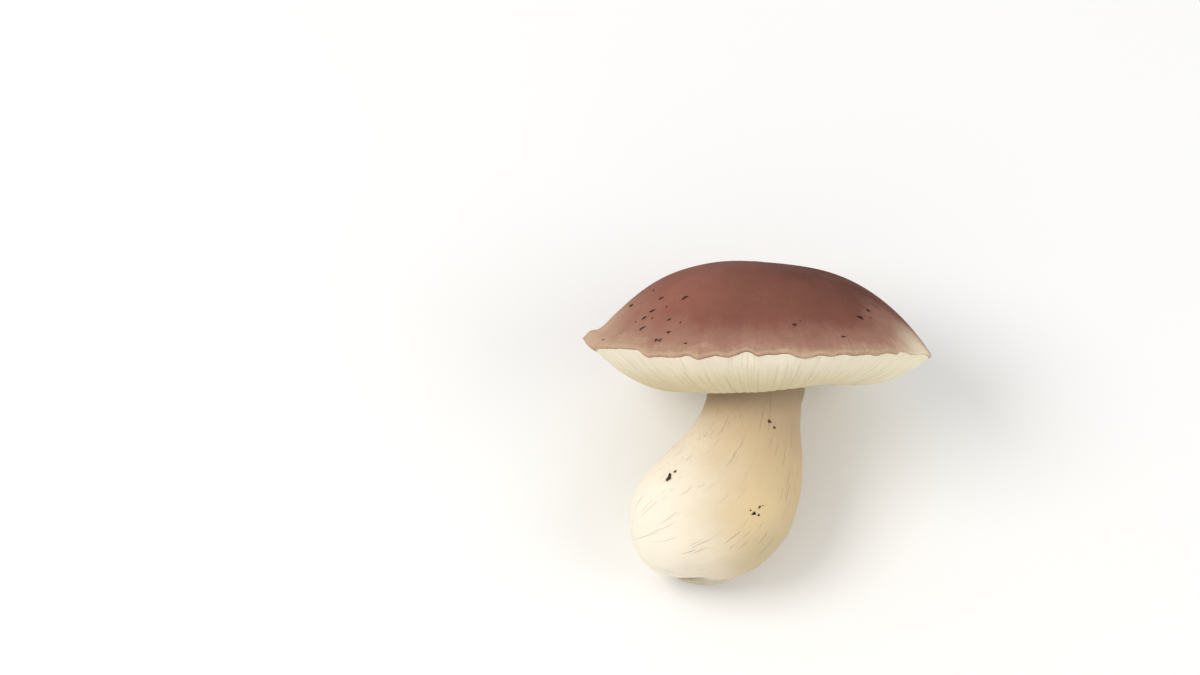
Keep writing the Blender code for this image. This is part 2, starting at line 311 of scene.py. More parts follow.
# one ring of rows: in along the lower face at edge height less tube depth, pushed out along its
# normals by cos(pleats * angle) and in by the grooves, then up the stem's hole and out along the top
def tubeGrid():
    angle = angleRow(tubeShape["columns"])
    outer = tubeRadius(angle)
    hole = (stemOval(angle) + tubeShape["holeMargin"]) / outer
    inward = np.linspace(0, 1, tubeShape["faceRows"])[:, None] ** 1.25
    share = 1 + (hole - 1) * inward
    broad = broadEdge(angle)
    lower = broad * share**3 + (edgeHeight(angle) - broad) * share**30
    face = lower - tubeDepth(angle, share) - tubeShape["gap"]
    points = roundTheAxis(angle, outer * share, face)
    drift = sum(far * np.sin(often * angle + start) for far, often, start in tubeShape["pleatDrift"])
    pleat = np.cos(tubeShape["pleats"] * angle + drift)
    ends = np.sin(math.pi * np.clip((share - 0.3) / 0.7, 0, 1)) ** 0.5
    grooves = tubeGrooves(angle, share)
    relief = tubeShape["pleatHeight"] * pleat * ends - tubeShape["grooveDepth"] * grooves
    points = points + gridNormals(points) * relief[..., None]

    up = np.linspace(0, 1, tubeShape["wallRows"] + 1)[1:, None]
    top = fleshHeight(angle, hole) - tubeShape["gap"]
    wall = roundTheAxis(angle, outer * hole, points[-1:, :, 2] * (1 - up) + top * up)
    out = hole + (1 - hole) * np.linspace(0, 1, tubeShape["topRows"] + 2)[1:-1, None]
    roof = roundTheAxis(angle, outer * out, fleshHeight(angle, out) - tubeShape["gap"])
    hidden = np.zeros((len(wall) + len(roof), tubeShape["columns"]))
    return np.concatenate([points, wall, roof]), angle, np.concatenate([grooves, hidden])


stemShape = {
    "foot": (-20.0, 0.0, -77.0),
    "lobeCentre": (-17.9, 4.0, -64.0),
    "lobeRadii": (17.9, 17.0, 15.1),
    "creaseDepth": 1.2,
    "creaseWidth": 0.035,               # as a share of the lobe's radii
    "creaseEnd": (-22, -15),            # x from which it fades, and where it has gone
    "lobeShadeEnd": (-24, 4),                # the same for the painted shade on the lobe
    "swell": 0.30,
    "swellEnd": (-16, -9),              # height from which it fades, and where it has gone
    "columns": 440,
    "rows": 184,
    "soleRows": 30,
    "fibreCentre": (-50.0, -12.0),      # the fibres bend round this point beside the stem: x, z
    "fibreAxis": 52.0,                  # and spread from a line at this distance from it
    "fibreRadius": 25.0,                # circle that stands for the angle in the patterns
}
stemSections = (            # height, left, right, half depth
    (1.9, -17.0, 17.0, 16.2), (-5.5, -17.0, 17.0, 16.2), (-12.7, -17.3, 16.3, 16.2),
    (-16.9, -18.3, 15.3, 16.3), (-20.7, -19.9, 15.1, 17.0), (-24.6, -22.4, 15.1, 18.2),
    (-29.4, -26.8, 15.4, 20.2), (-33.4, -31.3, 15.7, 21.8), (-38.7, -37.0, 15.7, 23.6),
    (-43.5, -40.9, 15.4, 24.8), (-48.8, -43.0, 14.8, 25.6), (-54.9, -43.6, 13.1, 25.8),
    (-61.1, -43.1, 10.8, 25.0), (-66.8, -41.4, 6.5, 23.0), (-71.6, -38.1, 1.3, 19.2),
    (-74.6, -34.0, -3.9, 13.8), (-76.5, -28.4, -8.2, 7.0),
)


# the stem's first section, as an oval in polar form: 1 / hypot(cos / a, sin / b)
def stemOval(angle):
    _, left, right, deep = stemSections[0]
    return 1 / np.hypot(np.cos(angle) * 2 / (right - left), np.sin(angle) / deep)


# cubic curves through the rows, with each row's slope taken from its neighbours
def betweenRows(rows, places):
    rows = np.array(rows)
    slopes = np.gradient(rows, axis=0)
    row = np.clip(places.astype(int), 0, len(rows) - 2)
    t = (places - row)[:, None]
    step = (rows[row + 1] - rows[row]) * t * t * (3 - 2 * t)
    bend = slopes[row] * t * (1 - t) ** 2 - slopes[row + 1] * t * t * (1 - t)
    return rows[row] + step + bend


# oval sections, then a sole whose rows shrink by a share s while its height falls with s * s;
# points inside the foot's lobe go straight out to its surface, and a narrow furrow follows the
# line where the bulb overhangs it
def stemGrid():
    angle = angleRow(stemShape["columns"])
    places = np.linspace(0, len(stemSections) - 1, stemShape["rows"])
    height, left, right, deep = (v[:, None] for v in betweenRows(stemSections, places).T)
    x = (left + right) / 2 + (right - left) / 2 * np.cos(angle)
    sides = np.stack(np.broadcast_arrays(x, -deep * np.sin(angle), height), axis=-1)
    flat = np.array([(0, 0, stemSections[0][0])]) + np.zeros((1, stemShape["columns"], 3))
    shrink = np.linspace(1, 0, stemShape["soleRows"] + 1)[1:, None, None]
    foot = np.array(stemShape["foot"])
    sole = foot + (sides[-1:] - foot) * shrink * (1, 1, 0) + (sides[-1:] - foot) * shrink**2 * (0, 0, 1)
    points = np.concatenate([flat, sides, sole])

    centre, radii = np.array(stemShape["lobeCentre"]), np.array(stemShape["lobeRadii"])
    depth = np.linalg.norm((points - centre) / radii, axis=-1, keepdims=True)
    points = centre + (points - centre) / np.minimum(depth, 1)
    # the furrow's mask, which also carries painted shade into the stem's colour
    crease = bell(depth - 1, stemShape["creaseWidth"])
    crease = crease * (1 - fade(points[..., 0:1], *stemShape["creaseEnd"]))
    x, y, z = points[..., 0:1], points[..., 1:2], points[..., 2:3]
    swell = np.sin(x / 9 + 0.7) * np.sin(z / 12 + y / 17 + 1.9) + 0.5 * np.sin(y / 6 + z / 8 + x / 14)
    below = 1 - fade(z, *stemShape["swellEnd"])
    relief = stemShape["swell"] * swell * below - stemShape["creaseDepth"] * crease
    # where the lobe's painted shade goes: on the lobe, fading out towards the right
    lobe = fade(1 - depth, 0, 0.05) * (1 - fade(x, *stemShape["lobeShadeEnd"]))
    return points + gridNormals(points) * relief, crease[..., 0], lobe[..., 0]


# the fibres' axis is an arc: the angle round that arc is kept as a place on a circle, and the third
# value is the length along it
def fibreFlow(points):
    across, up = (points[..., i] - c for i, c in zip((0, 2), stemShape["fibreCentre"]))
    turn = np.arctan2(points[..., 1], np.hypot(across, up) - stemShape["fibreAxis"])
    along = np.arctan2(up, across) * stemShape["fibreAxis"]
    return onCircle(turn, stemShape["fibreRadius"], along)


# an angle as a place on a circle, so that a pattern has no seam, with a length as the third value
def onCircle(angle, radius, along):
    return np.stack([radius * np.cos(angle), radius * np.sin(angle), along], axis=-1)


# turned round x until the stem has that tilt: y sin + z cos is its new y, z sin - y cos its height
def layDown(points, tilt):
    x, y, z = np.moveaxis(points, -1, 0)
    sine, cosine = math.sin(tilt), math.cos(tilt)
    return np.stack([x, y * sine + z * cosine, z * sine - y * cosine], axis=-1)


# halves the range of tilts until the lowest points of cap and stem are level
def restingTilt(cap, stem):
    low, high = 0.0, math.radians(60)
    for _ in range(40):
        tilt = (low + high) / 2
        if layDown(cap, tilt)[..., 2].min() < layDown(stem, tilt)[..., 2].min():
            low = tilt
        else:
            high = tilt
    return tilt


capPoints, capAngle = capGrid()
tubePoints, tubeAngle, tubeMask = tubeGrid()
stemPoints, creaseShadeMask, lobeShadeMask = stemGrid()
print("surfaces worked out")

tilt = restingTilt(capPoints, stemPoints)
laidCap = layDown(capPoints, tilt)
capBox = [np.array(corner) * 1000 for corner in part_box("cap")]
shift = np.array([
    (capBox[0][0] + capBox[1][0]) / 2 - (laidCap[..., 0].min() + laidCap[..., 0].max()) / 2,
    capBox[1][1] - laidCap[..., 1].max(),
    capBox[1][2] - laidCap[..., 2].max(),
])


# laid down, moved to the cap's place, pressed flat at the floor (height at least 0), and in metres
def placed(points):
    world = layDown(np.asarray(points, dtype=float), tilt) + shift
    world[..., 2] = np.maximum(world[..., 2], 0)
    return world / 1000


# one number or three for each point, read by the materials
def addAttribute(mesh, name, values):
    kind, key = ("FLOAT_VECTOR", "vector") if values.ndim > 1 else ("FLOAT", "value")
    made = mesh.attributes.new(name, kind, "POINT")
    made.data.foreach_set(key, values.astype(np.float32).ravel())


# which points of a grid are kept, its four-sided faces between neighbouring rows, and the triangles
# that close its first and last row, each kept as one point; a ring joins its last row to its first
def gridFaces(rows, columns, ring=False):
    index = np.arange(rows * columns).reshape(rows, columns)
    kept = slice(0, rows * columns)
    triangles = np.zeros((0, 3), dtype=int)
    if ring:
        index = np.concatenate([index, index[:1]])
    else:
        kept = slice(columns - 1, (rows - 1) * columns + 1)
        start, end, index = 0, (rows - 2) * columns + 1, index[1:-1] - (columns - 1)
        above, below = index[0], index[-1]
        triangles = np.concatenate([
            np.stack(np.broadcast_arrays(start, np.roll(above, -1), above), axis=-1),
            np.stack(np.broadcast_arrays(below, np.roll(below, -1), end), axis=-1),
        ])
    top, bottom = index[:-1], index[1:]
    quads = np.stack([top, np.roll(top, -1, 1), np.roll(bottom, -1, 1), bottom], axis=-1).reshape(-1, 4)
    return kept, quads, triangles


# corners in metres and faces as rows of corner numbers, all smooth or all flat
def meshObject(name, corners, quads, triangles, smooth=True):
    faces = quads.tolist() + triangles.tolist()
    mesh = bpy.data.meshes.new(name)
    mesh.from_pydata(corners, [], faces)
    mesh.polygons.foreach_set("use_smooth", np.full(len(faces), smooth))
    made = bpy.data.objects.new(name, mesh)
    bpy.context.collection.objects.link(made)
    return made


# a grid of points as one closed mesh, with its places in the growing mushroom as an attribute
def gridObject(name, points, ring=False, attributes=None):
    kept, quads, triangles = gridFaces(*points.shape[:2], ring)
    made = meshObject(name, placed(points).reshape(-1, 3)[kept], quads, triangles)
    for key, values in {"place": points, **(attributes or {})}.items():
        addAttribute(made.data, key, values.reshape(-1, *values.shape[2:])[kept])
    return made


rimRow = capShape["domeRows"] - 1
rimAway = awayFromRow(capPoints, rimRow)
angleGrid = np.broadcast_to(capAngle, rimAway.shape)
capFlow = onCircle(angleGrid, capShape["flowRadius"], rimAway)
underMask = np.zeros_like(rimAway)
underMask[rimRow + capShape["turnRows"]:] = 1
marginPlaces = (            # angle, extra width of the border in mm, half width
    (173, 9, 26), (48, -2.5, 14), (24, 5, 16), (4, -4, 14),
)
palePlaces = ((168, 36), (74, 6), (18, 34))     # where the border is palest: angle, half width
marginWidth = 8.5 + bumps(angleGrid, marginPlaces) + 1.5 * np.sin(3 * angleGrid)
paleness = 0.25 + 0.75 * np.max([bump(angleGrid, *place) for place in palePlaces], axis=0)
cap = gridObject("capSkin", capPoints, attributes={
    "flow": capFlow, "under": underMask, "margin": rimAway / marginWidth, "pale": paleness,
})

tubeAway = np.linalg.norm(tubePoints[..., :2], axis=-1)
tubeFlow = onCircle(np.broadcast_to(tubeAngle, tubeAway.shape), capShape["flowRadius"], tubeAway)
tubes = gridObject("tubeLayer", tubePoints, ring=True, attributes={"flow": tubeFlow, "groove": tubeMask})

stem = gridObject("stemFlesh", stemPoints, attributes={
    "flow": fibreFlow(stemPoints), "crease": creaseShadeMask, "lobe": lobeShadeMask,
})
print("cap, tube layer and stem built, tilt", round(math.degrees(tilt), 2))

studio = {
    "lens": 400.0,
    "sensor": 36.0,
    "imageWidth": 1200,
    "imageHeight": 675,
    "pixel": 0.34443,       # mm to a pixel of the photo
    "rimPixel": (757, 356), # where the middle of the rim shows
    "world": 0.66,
    "floorSize": 12.0,
    "lamps": (              # name, place and size in metres, watts, colour
        ("keyLamp", (-0.9, 0.45, 1.3), 0.9, 11.0, (1.0, 0.98, 0.95)),
        ("fillLamp", (1.1, 0.1, 1.2), 1.0, 4.5, (1.0, 1.0, 1.0)),
    ),
}


# where the camera stands as the picture sees it, in mm: right, up, and towards the viewer, at the
# image's width * lens / sensor from the rim's middle
def cameraPlace():
    distance = studio["imageWidth"] * studio["pixel"] * studio["lens"] / studio["sensor"]
    right = (studio["imageWidth"] / 2 - studio["rimPixel"][0]) * studio["pixel"]
    up = (studio["rimPixel"][1] - studio["imageHeight"] / 2) * studio["pixel"]
    return right, up, distance


crumbShape = {
    "rows": 8,
    "columns": 12,
    "seed": 5,
    "flatness": 0.42,
    "roughness": 0.34,
    "sunk": 0.25,
    "stemAxis": -12,        # x of the axis that the angles of hidden crumbs on the stem go round
}
capCrumbs = (               # pixel across, pixel down, length, breadth, turn in degrees
    (653.6, 290.8, 0.9, 0.7, 10), (661.5, 297.9, 1.5, 1.0, 5), (685.0, 297.9, 2.0, 1.1, 15),
    (631.7, 305.8, 1.7, 1.0, -10), (666.6, 306.6, 0.9, 0.6, 20), (652.3, 311.4, 2.0, 0.7, 0),
    (644.2, 318.3, 2.0, 0.9, 10), (652.1, 318.6, 1.0, 0.5, 0), (635.8, 322.4, 0.6, 0.5, 0),
    (669.2, 320.4, 1.8, 0.6, 8), (680.9, 323.2, 0.8, 0.6, 0), (642.7, 328.5, 1.8, 0.9, -5),
    (668.2, 331.8, 1.4, 0.7, 12), (656.9, 340.2, 1.2, 0.9, -35), (659.6, 340.2, 1.2, 0.9, 30),
    (685.0, 343.3, 1.1, 0.5, 0), (603.4, 339.5, 1.0, 0.5, -10), (868.2, 310.7, 1.3, 1.1, 20),
    (860.5, 317.3, 2.2, 1.2, 5), (871.2, 317.6, 0.6, 0.5, 0), (793.9, 324.7, 1.5, 0.9, 20),
    (800.6, 320.6, 0.6, 0.4, 0), (843.4, 337.2, 1.6, 0.6, 12),
)
stemCrumbs = (
    (669.2, 477.2, 2.5, 1.6, 65), (675.3, 471.9, 1.1, 1.0, 0), (769.7, 421.9, 1.3, 1.0, 0),
    (774.0, 428.0, 0.9, 0.8, 0), (750.8, 509.9, 0.7, 0.5, 0), (754.4, 513.0, 1.5, 1.1, 0),
    (759.7, 507.9, 1.2, 0.7, 35), (758.2, 515.5, 0.9, 0.8, 0), (763.3, 505.3, 0.5, 0.4, 0),
)
hiddenCrumbs = (            # the same on the sides that the photo doesn't show: angle, height in mm
    ("cap", 222, 14, 1.6, 1.0), ("cap", 229, 17, 0.9, 0.7), ("cap", 236, 13, 1.3, 0.8),
    ("cap", 305, 20, 1.9, 1.1), ("cap", 312, 17, 0.8, 0.6), ("cap", 338, 24, 1.2, 0.8),
    ("cap", 265, 27, 1.1, 0.9), ("stem", 215, -40, 1.7, 1.2), ("stem", 221, -44, 0.9, 0.7),
    ("stem", 325, -33, 1.3, 0.9), ("stem", 300, -58, 1.6, 1.0), ("stem", 307, -61, 0.8, 0.7),
)


# the grid point that shows at that pixel of the camera: offset from the image's middle times
# depth / distance, and the nearest among the points that face the viewer
def shownPoint(points, normals, pixelX, pixelY):
    right, up, distance = cameraPlace()
    nearer = (distance + points[..., 1]) / distance * studio["pixel"]
    across = right + (pixelX - studio["imageWidth"] / 2) * nearer
    height = up + (studio["imageHeight"] / 2 - pixelY) * nearer
    miss = np.hypot(points[..., 0] - across, points[..., 2] - height) + 1000 * (normals[..., 1] > -0.02)
    best = np.unravel_index(np.argmin(miss), miss.shape)
    return points[best], normals[best]


# the grid point nearest to an angle round an upright axis at that x, and to a height
def sidePoint(points, normals, centre, degrees, height):
    angle = np.degrees(np.arctan2(-points[..., 1], points[..., 0] - centre))
    miss = np.hypot(shortWay(angle, degrees), points[..., 2] - height)
    best = np.unravel_index(np.argmin(miss), miss.shape)
    return points[best], normals[best]


# a ball whose radius is 1 + roughness * sum of sines of its angles, stretched to length, breadth
# and thickness on the plane of the surface
def crumb(draw, spot, normal, length, breadth, turn):
    lat = np.linspace(0, math.pi, crumbShape["rows"])[:, None]
    lon = angleRow(crumbShape["columns"])
    a, b, c = draw.uniform(0, 2 * math.pi, 3)
    side = np.sin(lat)
    bulge = 0.5 * np.sin(2 * lon + a) * side + np.sin(3 * lon + b) * side**2
    bulge = bulge + 0.5 * np.sin(5 * lon + c) * side**3 + 0.4 * np.cos(3 * lat + b)
    radius = 1 + crumbShape["roughness"] * bulge
    ball = np.stack(np.broadcast_arrays(
        radius * np.sin(lat) * np.cos(lon), -radius * np.sin(lat) * np.sin(lon), radius * np.cos(lat),
    ), axis=-1)
    thick = crumbShape["flatness"] * math.sqrt(length * breadth)
    ball = ball * np.array([length, breadth, thick]) / 2
    right = np.array([1.0, 0, 0]) - normal * normal[0]
    right = right / np.linalg.norm(right)
    up = np.cross(normal, right)
    cosine, sine = math.cos(math.radians(turn)), math.sin(math.radians(turn))
    long, wide = right * cosine + up * sine, up * cosine - right * sine
    centre = spot + normal * thick * (0.5 - crumbShape["sunk"])
    return centre + ball[..., 0:1] * long + ball[..., 1:2] * wide + ball[..., 2:3] * normal


# every crumb on the grid point that its row names, all as one mesh: the same faces for each, with
# their corner numbers moved on by one crumb's corners
def crumbObject():
    draw = np.random.default_rng(crumbShape["seed"])
    capNormals, stemNormals = gridNormals(capPoints), gridNormals(stemPoints)
    grids = []
    for x, y, length, breadth, turn in capCrumbs:
        grids.append(crumb(draw, *shownPoint(capPoints, capNormals, x, y), length, breadth, turn))
    for x, y, length, breadth, turn in stemCrumbs:
        grids.append(crumb(draw, *shownPoint(stemPoints, stemNormals, x, y), length, breadth, turn))
    for piece, degrees, height, length, breadth in hiddenCrumbs:
        if piece == "cap":
            spot = sidePoint(capPoints, capNormals, 0, degrees, height)
        else:
            spot = sidePoint(stemPoints, stemNormals, crumbShape["stemAxis"], degrees, height)
        grids.append(crumb(draw, *spot, length, breadth, draw.uniform(0, 180)))
    kept, quads, triangles = gridFaces(crumbShape["rows"], crumbShape["columns"])
    corners = placed(np.array(grids)).reshape(len(grids), -1, 3)[:, kept]
    starts = (np.arange(len(grids)) * corners.shape[1])[:, None, None]
    corners, quads, triangles = corners.reshape(-1, 3), quads + starts, triangles + starts
    return meshObject("soilCrumbs", corners, quads.reshape(-1, 4), triangles.reshape(-1, 3), smooth=False)


crumbs = crumbObject()
print("crumbs placed")


# 0-255 screen values to linear light
def paint(red, green, blue):
    screen = np.array([red, green, blue]) / 255
    linear = np.where(screen <= 0.04045, screen / 12.92, ((screen + 0.055) / 1.055) ** 2.4)
    return (*linear.tolist(), 1.0)


# a link where the value is another node's socket, or else a fixed value
def plug(tree, value, socket):
    if isinstance(value, bpy.types.NodeSocket):
        tree.links.new(value, socket)
    else:
        socket.default_value = value


def addNode(tree, kind, inputs=(), **settings):
    made = tree.nodes.new(kind)
    for name, value in settings.items():
        setattr(made, name, value)
    for name, value in dict(inputs).items():
        plug(tree, value, made.inputs[name])
    return made


def calc(tree, operation, first, second=0.0):
    return addNode(tree, "ShaderNodeMath", {0: first, 1: second}, operation=operation).outputs[0]


def vectorCalc(tree, operation, first, second):
    return addNode(tree, "ShaderNodeVectorMath", {0: first, 1: second}, operation=operation).outputs[0]


def blend(tree, share, first, second, mode="MIX"):
    inputs = {0: share, 6: first, 7: second}
    return addNode(tree, "ShaderNodeMix", inputs, data_type="RGBA", blend_type=mode).outputs[2]


# from low..high to toLow..toHigh in a smooth step; low may be above high
def remap(tree, value, low, high, toLow=0.0, toHigh=1.0):
    inputs = {"Value": value, "From Min": low, "From Max": high, "To Min": toLow, "To Max": toHigh}
    return addNode(tree, "ShaderNodeMapRange", inputs, interpolation_type="SMOOTHSTEP").outputs[0]


def noise(tree, vector, scale, detail=2.0, roughness=0.5):
    inputs = {"Vector": vector, "Scale": scale, "Detail": detail, "Roughness": roughness}
    return addNode(tree, "ShaderNodeTexNoise", inputs).outputs["Fac"]


def attribute(tree, name, output="Fac"):
    return addNode(tree, "ShaderNodeAttribute", attribute_name=name).outputs[output]


def newGroup(name, inputs, outputs):
    tree = bpy.data.node_groups.new(name, "ShaderNodeTree")
    for label, kind, value in inputs:
        socket = tree.interface.new_socket(label, in_out="INPUT", socket_type=kind)
        if value is not None:
            socket.default_value = value
    for label, kind in outputs:
        tree.interface.new_socket(label, in_out="OUTPUT", socket_type=kind)
    return tree, tree.nodes.new("NodeGroupInput").outputs, tree.nodes.new("NodeGroupOutput").inputs


# colour * (1 + strength * (noise - 0.5)), as soft clouds of a given size in mm
def cloudGroup():
    tree, given, out = newGroup("softClouds", [
        ("Colour", "NodeSocketColor", None), ("Place", "NodeSocketVector", None),
        ("Size", "NodeSocketFloat", 10.0), ("Strength", "NodeSocketFloat", 0.2),
    ], [("Colour", "NodeSocketColor")])
    spread = noise(tree, given["Place"], calc(tree, "DIVIDE", 1.0, given["Size"]), 4.0, 0.55)
    change = calc(tree, "MULTIPLY", calc(tree, "SUBTRACT", spread, 0.5), given["Strength"])
    light = calc(tree, "ADD", change, 1.0)
    scaled = addNode(tree, "ShaderNodeVectorMath", {0: given["Colour"], "Scale": light}, operation="SCALE")
    plug(tree, scaled.outputs[0], out["Colour"])
    return tree


# thin dashes along the flow: cells of width x length, of which a share holds one drawn-out spot
def dashGroup():
    tree, given, out = newGroup("dashes", [
        ("Flow", "NodeSocketVector", None), ("Width", "NodeSocketFloat", 0.5),
        ("Length", "NodeSocketFloat", 8.0), ("Kept", "NodeSocketFloat", 0.1),
    ], [("Mask", "NodeSocketFloat")])
    across, along = calc(tree, "DIVIDE", 1.0, given["Width"]), calc(tree, "DIVIDE", 1.0, given["Length"])
    cell = addNode(tree, "ShaderNodeCombineXYZ", {0: across, 1: across, 2: along}).outputs[0]
    wobble = noise(tree, given["Flow"], 0.12, 1.0)
    shifted = vectorCalc(tree, "ADD", given["Flow"], addNode(
        tree, "ShaderNodeCombineXYZ", {0: calc(tree, "MULTIPLY", wobble, 3.0), 1: 0.0, 2: 0.0}).outputs[0])
    inputs = {"Vector": vectorCalc(tree, "MULTIPLY", shifted, cell), "Scale": 1.0}
    cells = addNode(tree, "ShaderNodeTexVoronoi", inputs)
    lot = addNode(tree, "ShaderNodeSeparateColor", {0: cells.outputs["Color"]}).outputs
    kept = remap(tree, lot[0], calc(tree, "SUBTRACT", 1.0, given["Kept"]), 1.0, 0.0, 1.0)
    spot = remap(tree, cells.outputs["Distance"], 0.42, 0.2)
    plug(tree, calc(tree, "MULTIPLY", spot, calc(tree, "POWER", kept, 0.4)), out["Mask"])
    return tree


# fine grain for the bump: two noises, one drawn out along the flow
def grainGroup():
    tree, given, out = newGroup("fleshGrain", [
        ("Place", "NodeSocketVector", None), ("Flow", "NodeSocketVector", None),
        ("Size", "NodeSocketFloat", 0.8), ("Stretch", "NodeSocketFloat", 8.0),
    ], [("Height", "NodeSocketFloat")])
    fine = noise(tree, given["Place"], calc(tree, "DIVIDE", 1.0, given["Size"]), 3.0, 0.6)
    scale = calc(tree, "DIVIDE", 0.8, given["Size"])
    short = calc(tree, "DIVIDE", scale, given["Stretch"])
    drawn = addNode(tree, "ShaderNodeCombineXYZ", {0: scale, 1: scale, 2: short}).outputs[0]
    fibre = noise(tree, vectorCalc(tree, "MULTIPLY", given["Flow"], drawn), 1.0, 3.0, 0.6)
    plug(tree, calc(tree, "MULTIPLY", calc(tree, "ADD", fine, fibre), 0.5), out["Height"])
    return tree


cloudTree, dashTree, grainTree = cloudGroup(), dashGroup(), grainGroup()


def useGroup(tree, group, inputs):
    made = addNode(tree, "ShaderNodeGroup", node_tree=group)
    for name, value in inputs.items():
        plug(tree, value, made.inputs[name])
    return made.outputs[0]


# one layer of clouds over the other, for each row of size in mm and strength
def addClouds(tree, colour, place, rows):
    for size, strength in rows:
        inputs = {"Colour": colour, "Place": place, "Size": size, "Strength": strength}
        colour = useGroup(tree, cloudTree, inputs)
    return colour


def addGrain(tree, place, flow, look):
    inputs = {"Place": place, "Flow": flow, "Size": look["grainSize"], "Stretch": look["grainStretch"]}
    return useGroup(tree, grainTree, inputs)


# dashes along the flow, as the look's three values of that name say
def addDashes(tree, flow, look, name):
    sizes = {part: look[name + part] for part in ("Width", "Length", "Kept")}
    return useGroup(tree, dashTree, {"Flow": flow, **sizes})


# the look's colour of that name laid over, as far as the mask times its share goes
def layOver(tree, colour, mask, look, name):
    return blend(tree, calc(tree, "MULTIPLY", mask, look[name + "Share"]), colour, look[name])


def newMaterial(name, roughness, gloss=0.3):
    made = bpy.data.materials.new(name)
    made.use_nodes = True
    tree = made.node_tree
    shader = tree.nodes["Principled BSDF"]
    shader.inputs["Roughness"].default_value = roughness
    shader.inputs["IOR"].default_value = 1.4
    shader.inputs["Specular IOR Level"].default_value = gloss
    return made, tree, shader


# a bump of that depth in mm
def addBump(tree, shader, height, depth):
    inputs = {"Height": height, "Distance": depth / 1000, "Strength": 1.0}
    plug(tree, addNode(tree, "ShaderNodeBump", inputs).outputs[0], shader.inputs["Normal"])


# 1 at a named spot of a look, fading to 0 at its reach, in mm
def nearSpot(tree, place, look, spot):
    inputs = {0: place, 1: look[spot + "Place"]}
    away = addNode(tree, "ShaderNodeVectorMath", inputs, operation="DISTANCE").outputs["Value"]
    return remap(tree, away, look[spot + "Reach"], 0.0)


# noise around 0, times how far it pulls
def pull(tree, spread, far):
    return calc(tree, "MULTIPLY", calc(tree, "SUBTRACT", spread, 0.5), far)


capLook = {
    "brown": paint(131, 84, 72),
    # darker crown right of the middle: partly the cap's own darker centre, partly painted shade away from
    # the key lamp
    "crown": paint(95, 54, 41),
    "crownPlace": (24, -6, 26),
    "crownReach": 47,
    "crownPatches": (0.3, 0.65, 0.7, 1.1),      # the noise that breaks it up: from, to, least, most
    # painted light: the brown made lighter on the left, the key lamp's side
    "red": paint(154, 99, 84),
    "redPlace": (-38, -30, 15),
    "redReach": 42,
    "border": paint(167, 126, 108),
    "borderFade": (2.2, 0.1),       # where it starts and where it is full, in border widths
    "hairs": (2.2, 2.2, 0.3),       # scale of the fine streaks that fray it, across and along
    "hairPull": 0.7,
    "driftScale": 0.1,              # broad waves of its inner side
    "driftPull": 1.7,
    "margin": paint(190, 158, 132),
    "marginFade": (0.6, 0.0),
    "fringeScale": 0.16,            # patches where the margin is pale
    "fringeFade": (0.42, 0.62),
    "edge": paint(202, 174, 146),
    "edgeFade": (0.16, 0.0),
    "edgeShare": 0.5,
    "spotFade": (3.2, 0.8),         # keeps the lip's and the tip's colour near the rim
    "lip": paint(202, 170, 142),
    "lipPlace": (-60, -6, 6),
    "lipReach": 28,
    "tip": paint(240, 226, 196),
    "tipPlace": (58, -19, -1),
    "tipReach": 20,
    "flesh": paint(240, 230, 205),
    "clouds": ((14.0, 0.35),),      # size in mm, strength
    "fineClouds": ((4.0, 0.16), (0.9, 0.26)),
    "grainSize": 0.7,
    "grainStretch": 6.0,
    "grainDepth": 0.22,
    "roughness": 0.7,
    "gloss": 0.08,
}


def capMaterial():
    made, tree, shader = newMaterial("capSkinLook", capLook["roughness"], capLook["gloss"])
    place, flow = attribute(tree, "place", "Vector"), attribute(tree, "flow", "Vector")
    # painted light: lighter brown towards the left front
    colour = blend(tree, nearSpot(tree, place, capLook, "red"), capLook["brown"], capLook["red"])
    # the crown's darkening, partly the cap's own colour, partly painted shade
    patches = remap(tree, noise(tree, place, 0.09, 4.0, 0.6), *capLook["crownPatches"])
    crown = {0: nearSpot(tree, place, capLook, "crown"), 1: patches}
    crown = addNode(tree, "ShaderNodeMath", crown, operation="MULTIPLY", use_clamp=True)
    colour = blend(tree, crown.outputs[0], colour, capLook["crown"])
    colour = addClouds(tree, colour, place, capLook["clouds"])

    # distance from the rim in border widths, frayed
    rimward = attribute(tree, "margin")
    hair = noise(tree, vectorCalc(tree, "MULTIPLY", flow, capLook["hairs"]), 1.0, 4.0, 0.7)
    drift = noise(tree, place, capLook["driftScale"], 4.0, 0.6)
    away = calc(tree, "ADD", rimward, pull(tree, hair, capLook["hairPull"]))
    away = calc(tree, "ADD", away, pull(tree, drift, capLook["driftPull"]))
    colour = blend(tree, remap(tree, away, *capLook["borderFade"]), colour, capLook["border"])
    fringe = remap(tree, noise(tree, place, capLook["fringeScale"], 3.0, 0.6), *capLook["fringeFade"])
    pale = calc(tree, "MAXIMUM", attribute(tree, "pale"), fringe)
    pale = calc(tree, "MULTIPLY", remap(tree, away, *capLook["marginFade"]), pale)
    colour = blend(tree, pale, colour, capLook["margin"])
    colour = layOver(tree, colour, remap(tree, rimward, *capLook["edgeFade"]), capLook, "edge")
    for spot in ("lip", "tip"):
        near = nearSpot(tree, place, capLook, spot)
        near = calc(tree, "MULTIPLY", near, remap(tree, away, *capLook["spotFade"]))
        colour = blend(tree, near, colour, capLook[spot])
    colour = addClouds(tree, colour, place, capLook["fineClouds"])
    colour = blend(tree, attribute(tree, "under"), colour, capLook["flesh"])
    plug(tree, colour, shader.inputs["Base Color"])
    addBump(tree, shader, addGrain(tree, place, flow, capLook), capLook["grainDepth"])
    return made


